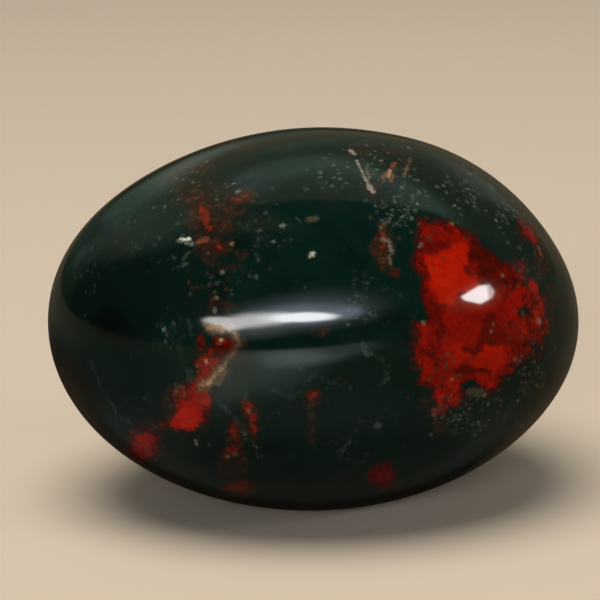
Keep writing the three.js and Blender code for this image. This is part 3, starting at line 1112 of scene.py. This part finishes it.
# Cream quartz
cream_depth = maths("MULTIPLY_ADD", coarse, 0.5, attribute("cream_depth"))
cream_depth = maths("MULTIPLY_ADD", small, 0.35, cream_depth)
cream_tone = maths("MULTIPLY_ADD", cream_depth, 0.9, maths("MULTIPLY_ADD", small, 0.7, 0.10))
cream = ramp(
    maths("MULTIPLY_ADD", tiny, 0.2, cream_tone),
    [(0.0, (0.030, 0.026, 0.015)), (0.4, (0.13, 0.085, 0.050)), (1.0, (0.58, 0.36, 0.21))],
)
colour = blend(maths("MULTIPLY", step(cream_depth, -0.45, 0.45), 0.85), colour, cream)

# Flecks and threads: the distance to the nearest stroke, with a ragged edge and a patchy strength
RAGGED_BY = 0.48 * MM
FLECK_EDGE = (0.18 * MM, -0.12 * MM)
ragged = add("TexNoise", {"Vector": place_mm, "Scale": 4.5, "Detail": 2.0})["Color"]
ragged = vectors("SUBTRACT", ragged, (0.5, 0.5, 0.5))[0]
ragged = add("VectorMath", {0: ragged, "Scale": RAGGED_BY}, operation="SCALE")[0]
here = vectors("ADD", place_m, ragged)[0]
start = attribute("fleck_start", "Vector")
along = vectors("SUBTRACT", attribute("fleck_end", "Vector"), start)[0]
away = vectors("SUBTRACT", here, start)[0]
length_squared = maths("MAXIMUM", vectors("DOT_PRODUCT", along, along)["Value"], 1e-12)
share = maths("DIVIDE", vectors("DOT_PRODUCT", away, along)["Value"], length_squared)
share = add("Clamp", {"Value": share})[0]
beside = add("VectorMath", {0: along, "Scale": share}, operation="SCALE")[0]
fleck_gap = vectors("LENGTH", vectors("SUBTRACT", away, beside)[0])["Value"]
fleck_gap = maths("SUBTRACT", fleck_gap, attribute("fleck_reach"))
fleck_share = maths("MULTIPLY", step(fleck_gap, *FLECK_EDGE), step(tiny, -0.22, 0.08))
colour = blend(fleck_share, colour, attribute("fleck_colour", "Vector"))

# Gloss, with a breath of unevenness left by the polishing
CHALCEDONY_IOR = 1.54
POLISH_ROUGHNESS = 0.065
SCUFF_ROUGHNESS = 0.05
scuffs = noise(place_mm, 2.5, 4, 0.7)
relief = add("Bump", {"Height": noise(place_mm, 6, 2, 0.5), "Strength": 0.02, "Distance": MM})[0]
surface = add(
    "BsdfPrincipled",
    {
        "Base Color": colour,
        "Roughness": maths("MULTIPLY_ADD", scuffs, SCUFF_ROUGHNESS, POLISH_ROUGHNESS),
        "IOR": CHALCEDONY_IOR,
        "Specular IOR Level": 0.5,
        "Normal": relief,
    },
)
add("OutputMaterial", {"Surface": surface[0]})
mesh.materials.clear()
mesh.materials.append(polish)


# The floor: a plain pale surface to stand on, matt and smooth. It isn't mirrored in the stone: the
# surroundings below the horizon give the tone that the gloss shows there.
FLOOR_SIZE = 8.0
FLOOR_COLOUR = (0.52, 0.43, 0.34, 1)
FLOOR_ROUGHNESS = 0.9
bpy.ops.object.select_all(action="DESELECT")
bpy.ops.mesh.primitive_plane_add(size=FLOOR_SIZE)
floor = bpy.context.object
floor.name = "floor"
paper = bpy.data.materials.new("pale_floor")
paper.use_nodes = True
paper_surface = paper.node_tree.nodes["Principled BSDF"]
paper_surface.inputs["Base Color"].default_value = FLOOR_COLOUR
paper_surface.inputs["Roughness"].default_value = FLOOR_ROUGHNESS
floor.data.materials.append(paper)
floor.visible_glossy = False


# The surroundings: a dim sky behind and above the stone, dark on the camera's side, with soft
# lights and dark shapes in it. Each shape is told by where its mirror image lies on the front.
DARK_SIDE = (0.015, 0.022, 0.018, 1)
CONTACT_SHADE = (0.010, 0.006, 0.004, 1)
BACKDROP_COLOUR = (0.52, 0.44, 0.35, 1)
world = bpy.data.worlds.new("studio")
bpy.context.scene.world = world
world.use_nodes = True
tree = world.node_tree
tree.nodes.clear()
direction = add("TexCoord")["Generated"]


def mirrored(right_mm, up_mm):
    """The direction that is mirrored at a place of the front."""
    place = on_stone("front", right_mm, up_mm)
    ray = (place - sides["front"][0]).normalized()
    normal = Vector(np.array(place - MIDDLE) / half_size**2).normalized()
    return np.array(ray.reflect(normal))


def around(middle, side, top, soft):
    """1 in an oval of directions and 0 outside. Its middle, one side and its top are mirrored at
    the given places of the front."""
    middle, side, top = (mirrored(*place) for place in (middle, side, top))
    axes = np.stack([side - middle, top - middle])
    axes = np.linalg.inv(axes @ axes.T) @ axes
    reaches = []
    for axis in axes:
        along = vectors("DOT_PRODUCT", direction, tuple(axis))["Value"]
        along = maths("SUBTRACT", along, float(axis @ middle))
        reaches.append(maths("MULTIPLY", along, along))
    reach = maths("SQRT", maths("ADD", *reaches))
    facing = step(vectors("DOT_PRODUCT", direction, tuple(middle))["Value"], 0.0, 0.2)
    return maths("MULTIPLY", step(reach, 1 + soft, 1 - soft), facing)


def within(corners, soft):
    """1 in a shape of directions with straight edges and 0 outside. Its corners are mirrored at the
    given places of the front."""
    corners = [mirrored(*corner) for corner in corners]
    inside = 1
    for corner, next_corner in zip(corners, corners[1:] + corners[:1]):
        edge = np.cross(corner, next_corner)
        edge *= np.sign(edge @ sum(corners)) / np.linalg.norm(edge)
        inside = maths("MINIMUM", inside, vectors("DOT_PRODUCT", direction, tuple(edge))["Value"])
    return step(inside, -soft, soft)


# The sky begins a little behind the stone, and further back towards the left and right.
heights = add("SeparateXYZ", {"Vector": direction})
below_horizon = maths("MULTIPLY", heights["Z"], -1)
to_left = maths("MAXIMUM", maths("MULTIPLY", heights["X"], -0.28), 0)
to_right = maths("MAXIMUM", maths("MULTIPLY_ADD", heights["X"], 0.25, -0.07), 0)
over_the_edge = maths("SUBTRACT", heights["Y"], maths("ADD", to_left, to_right))
behind = step(over_the_edge, 0.05, 0.11)
sky = ramp(
    heights["Z"],
    [
        (0.02, (0.030, 0.024, 0.012)),
        (0.11, (0.044, 0.044, 0.030)),
        (0.21, (0.110, 0.145, 0.110)),
        (0.34, (0.130, 0.200, 0.155)),
        (0.52, (0.150, 0.210, 0.155)),
        (0.63, (0.115, 0.135, 0.105)),
        (0.70, (0.150, 0.165, 0.130)),
        (0.80, (0.33, 0.42, 0.34)),
        (0.86, (0.36, 0.46, 0.38)),
        (0.93, (0.25, 0.27, 0.22)),
        (1.00, (0.21, 0.15, 0.13)),
    ],
)
clouds = maths("MULTIPLY_ADD", noise(direction, 0.10, 4, 0.6), 0.9, 1.0)
sky = vectors("MULTIPLY", sky, add("CombineXYZ", {0: clouds, 1: clouds, 2: clouds})[0])[0]
lower_tones = ramp(
    below_horizon,
    [
        (0.00, (0.11, 0.085, 0.045)),
        (0.25, (0.11, 0.095, 0.07)),
        (0.50, (0.13, 0.13, 0.12)),
        (0.75, (0.10, 0.09, 0.08)),
        (0.90, (0.05, 0.035, 0.03)),
    ],
)
surroundings = blend(behind, DARK_SIDE, sky)

# Shapes above and below the horizon: where the middle, one side and the top of each are mirrored,
# how soft its edge is, and how bright it is.
sky_shapes = [
    # bright cloud along the right shoulder and the left one, and a paler part below the left one
    ((16.5, 12.6), (19.0, 10.2), (15.7, 11.8), 0.7, (0.26, 0.29, 0.25)),
    ((-15.8, 9.1), (-11.0, 11.0), (-16.6, 10.3), 0.5, (0.20, 0.22, 0.17)),
    ((-12.2, 14.1), (-14.6, 12.6), (-11.7, 13.5), 0.7, (0.30, 0.33, 0.28)),
    # the darker rim at the left, with a thin pale streak
    ((-21.2, 8.6), (-22.3, 6.8), (-21.5, 9.0), 0.5, (0.05, 0.055, 0.045)),
    ((-22.1, 4.5), (-22.5, 2.9), (-21.8, 4.6), 0.6, (0.09, 0.10, 0.08)),
    ((23.6, 6.0), (23.6, 2.0), (22.4, 5.8), 0.6, (0.16, 0.135, 0.08)),
    # dark shapes at the left and right
    ((-20.4, 0.5), (-16.9, 0.3), (-19.2, 6.8), 0.35, (0.008, 0.008, 0.007)),
    ((19.4, 8.0), (16.2, 8.4), (18.0, 10.6), 0.35, (0.015, 0.025, 0.020)),
]
lower_shapes = [
    # a shaded part on the left, one below the large patch, and warm parts at both ends
    ((-18.5, -5.4), (-13.6, -5.4), (-18.3, -2.4), 0.6, (0.055, 0.045, 0.050)),
    ((15.8, -3.8), (22.0, -3.8), (15.6, 0.0), 0.45, (0.065, 0.040, 0.025)),
    ((23.8, -2.2), (22.9, -6.8), (22.4, -2.0), 0.6, (0.12, 0.095, 0.06)),
    ((21.2, -7.6), (18.0, -11.4), (19.6, -6.4), 0.6, (0.10, 0.065, 0.038)),
    ((-22.2, -6.4), (-19.6, -10.2), (-20.8, -5.4), 0.6, (0.06, 0.035, 0.020)),
    # the pale part in front, brighter towards its far edge, and the dark edge itself
    ((-4.6, -4.9), (-0.6, -4.5), (-4.2, -3.1), 0.9, (0.50, 0.58, 0.50)),
    ((-2.3, -3.6), (2.4, -3.1), (-2.2, -2.8), 0.7, (1.25, 1.45, 1.32)),
    ((3.0, -2.7), (5.6, -2.5), (3.0, -2.2), 0.8, (0.42, 0.50, 0.46)),
    ((-7.2, -5.4), (-5.2, -3.4), (-8.2, -4.4), 0.8, (0.55, 0.60, 0.50)),
    ((-1.0, -1.75), (7.0, -1.05), (-1.05, -0.75), 0.18, (0.015, 0.012, 0.012)),
    # the long light: its glow, halo and broken right end
    ((1.0, 1.5), (6.0, 1.8), (1.0, 2.7), 0.8, (0.24, 0.27, 0.27)),
    ((-1.3, 0.6), (4.2, 1.0), (-1.4, 1.85), 0.8, (0.8, 0.9, 1.0)),
    ((-1.9, 0.35), (3.0, 0.8), (-2.0, 1.25), 0.55, (2.1, 2.4, 3.0)),
    ((-5.4, -0.7), (-2.6, -0.5), (-5.5, 0.1), 0.9, (0.9, 1.0, 1.0)),
    ((2.9, 0.65), (4.3, 0.75), (2.9, 1.1), 0.7, (2.3, 2.7, 3.4)),
    # its left part, joined to the bright middle
    ((-8.8, -0.15), (-7.2, -0.25), (-8.8, 0.22), 0.35, (10.0, 9.6, 9.3)),
    ((-7.6, -0.45), (-6.6, -0.4), (-7.6, 0.05), 0.5, (10.5, 10.0, 9.6)),
    ((-5.5, -0.08), (-2.6, 0.12), (-5.6, 0.50), 0.6, (10.0, 9.9, 9.9)),
    ((-3.6, 0.15), (-2.0, 0.25), (-3.65, 0.55), 0.6, (13.0, 13.0, 13.2)),
    ((-0.97, 0.2), (2.0, 0.3), (-1.02, 0.62), 0.28, (19.0, 19.4, 20.0)),
    # the warm glow round the side light
    ((15.6, 2.35), (17.8, 3.1), (15.3, 3.5), 0.5, (0.55, 0.36, 0.18)),
]
for middle, side, top, soft, radiance in sky_shapes:
    surroundings = blend(around(middle, side, top, soft), surroundings, (*radiance, 1))
surroundings = blend(step(heights["Z"], 0.015, -0.025), surroundings, lower_tones)
contact_shade = maths("MULTIPLY", step(heights["Y"], 0.30, 0.72), step(below_horizon, 0.10, 0.34))
surroundings = blend(contact_shade, surroundings, CONTACT_SHADE)
for middle, side, top, soft, radiance in lower_shapes:
    surroundings = blend(around(middle, side, top, soft), surroundings, (*radiance, 1))

# The side light has straight edges: it tapers to the left and is dimmer at its right end.
SIDE_LIGHT_EDGE = 0.009
DIM_END_EDGE = 0.012
side_light = [
    (13.8, 2.16), (15.66, 3.2), (16.8, 3.44), (17.27, 2.83), (16.98, 2.16), (15.66, 1.46), (14.15, 1.79),
]
dim_end = [(16.5, 3.5), (17.4, 3.1), (17.3, 2.2), (16.6, 1.7)]
side_tone = blend(within(dim_end, DIM_END_EDGE), (16.5, 16.6, 16.4, 1), (8.0, 7.9, 7.6, 1))
surroundings = blend(within(side_light, SIDE_LIGHT_EDGE), surroundings, side_tone)

# The camera itself sees a plain backdrop in place of the surroundings.
seen = add("LightPath")["Is Camera Ray"]
backdrop = blend(seen, surroundings, BACKDROP_COLOUR)
add("OutputWorld", {"Surface": add("Background", {"Color": backdrop})[0]})

# One broad soft lamp above lights the floor and the colour inside the stone.
LAMP_SIZE = 0.7
LAMP_POWER = 10.5
LAMP_PLACE = (-0.1, -0.18, 0.9)
lamp = bpy.data.lights.new("lamp", "AREA")
lamp.shape = "DISK"
lamp.size = LAMP_SIZE
lamp.energy = LAMP_POWER
lamp.color = (1.0, 0.96, 0.9)
lamp_object = bpy.data.objects.new("lamp", lamp)
bpy.context.scene.collection.objects.link(lamp_object)
lamp_object.location = LAMP_PLACE
lamp_object.rotation_euler = (MIDDLE - lamp_object.location).to_track_quat("-Z", "Y").to_euler()
lamp_object.visible_glossy = False


# The camera: a long lens that looks at the front of the stone from a little above it. It is rolled
# by the small tilt that the stone's long axis has in the picture.
LENS = 150
camera_data = bpy.data.cameras.new("camera")
camera_data.lens = LENS
camera_data.sensor_width = 36
camera = bpy.data.objects.new("camera", camera_data)
bpy.context.scene.collection.objects.link(camera)
eye, right, up, back = sides["front"]
camera.matrix_world = Matrix.Translation(eye) @ Matrix((right, up, back)).transposed().to_4x4()
bpy.context.scene.camera = camera
bpy.context.scene.view_settings.view_transform = "Standard"
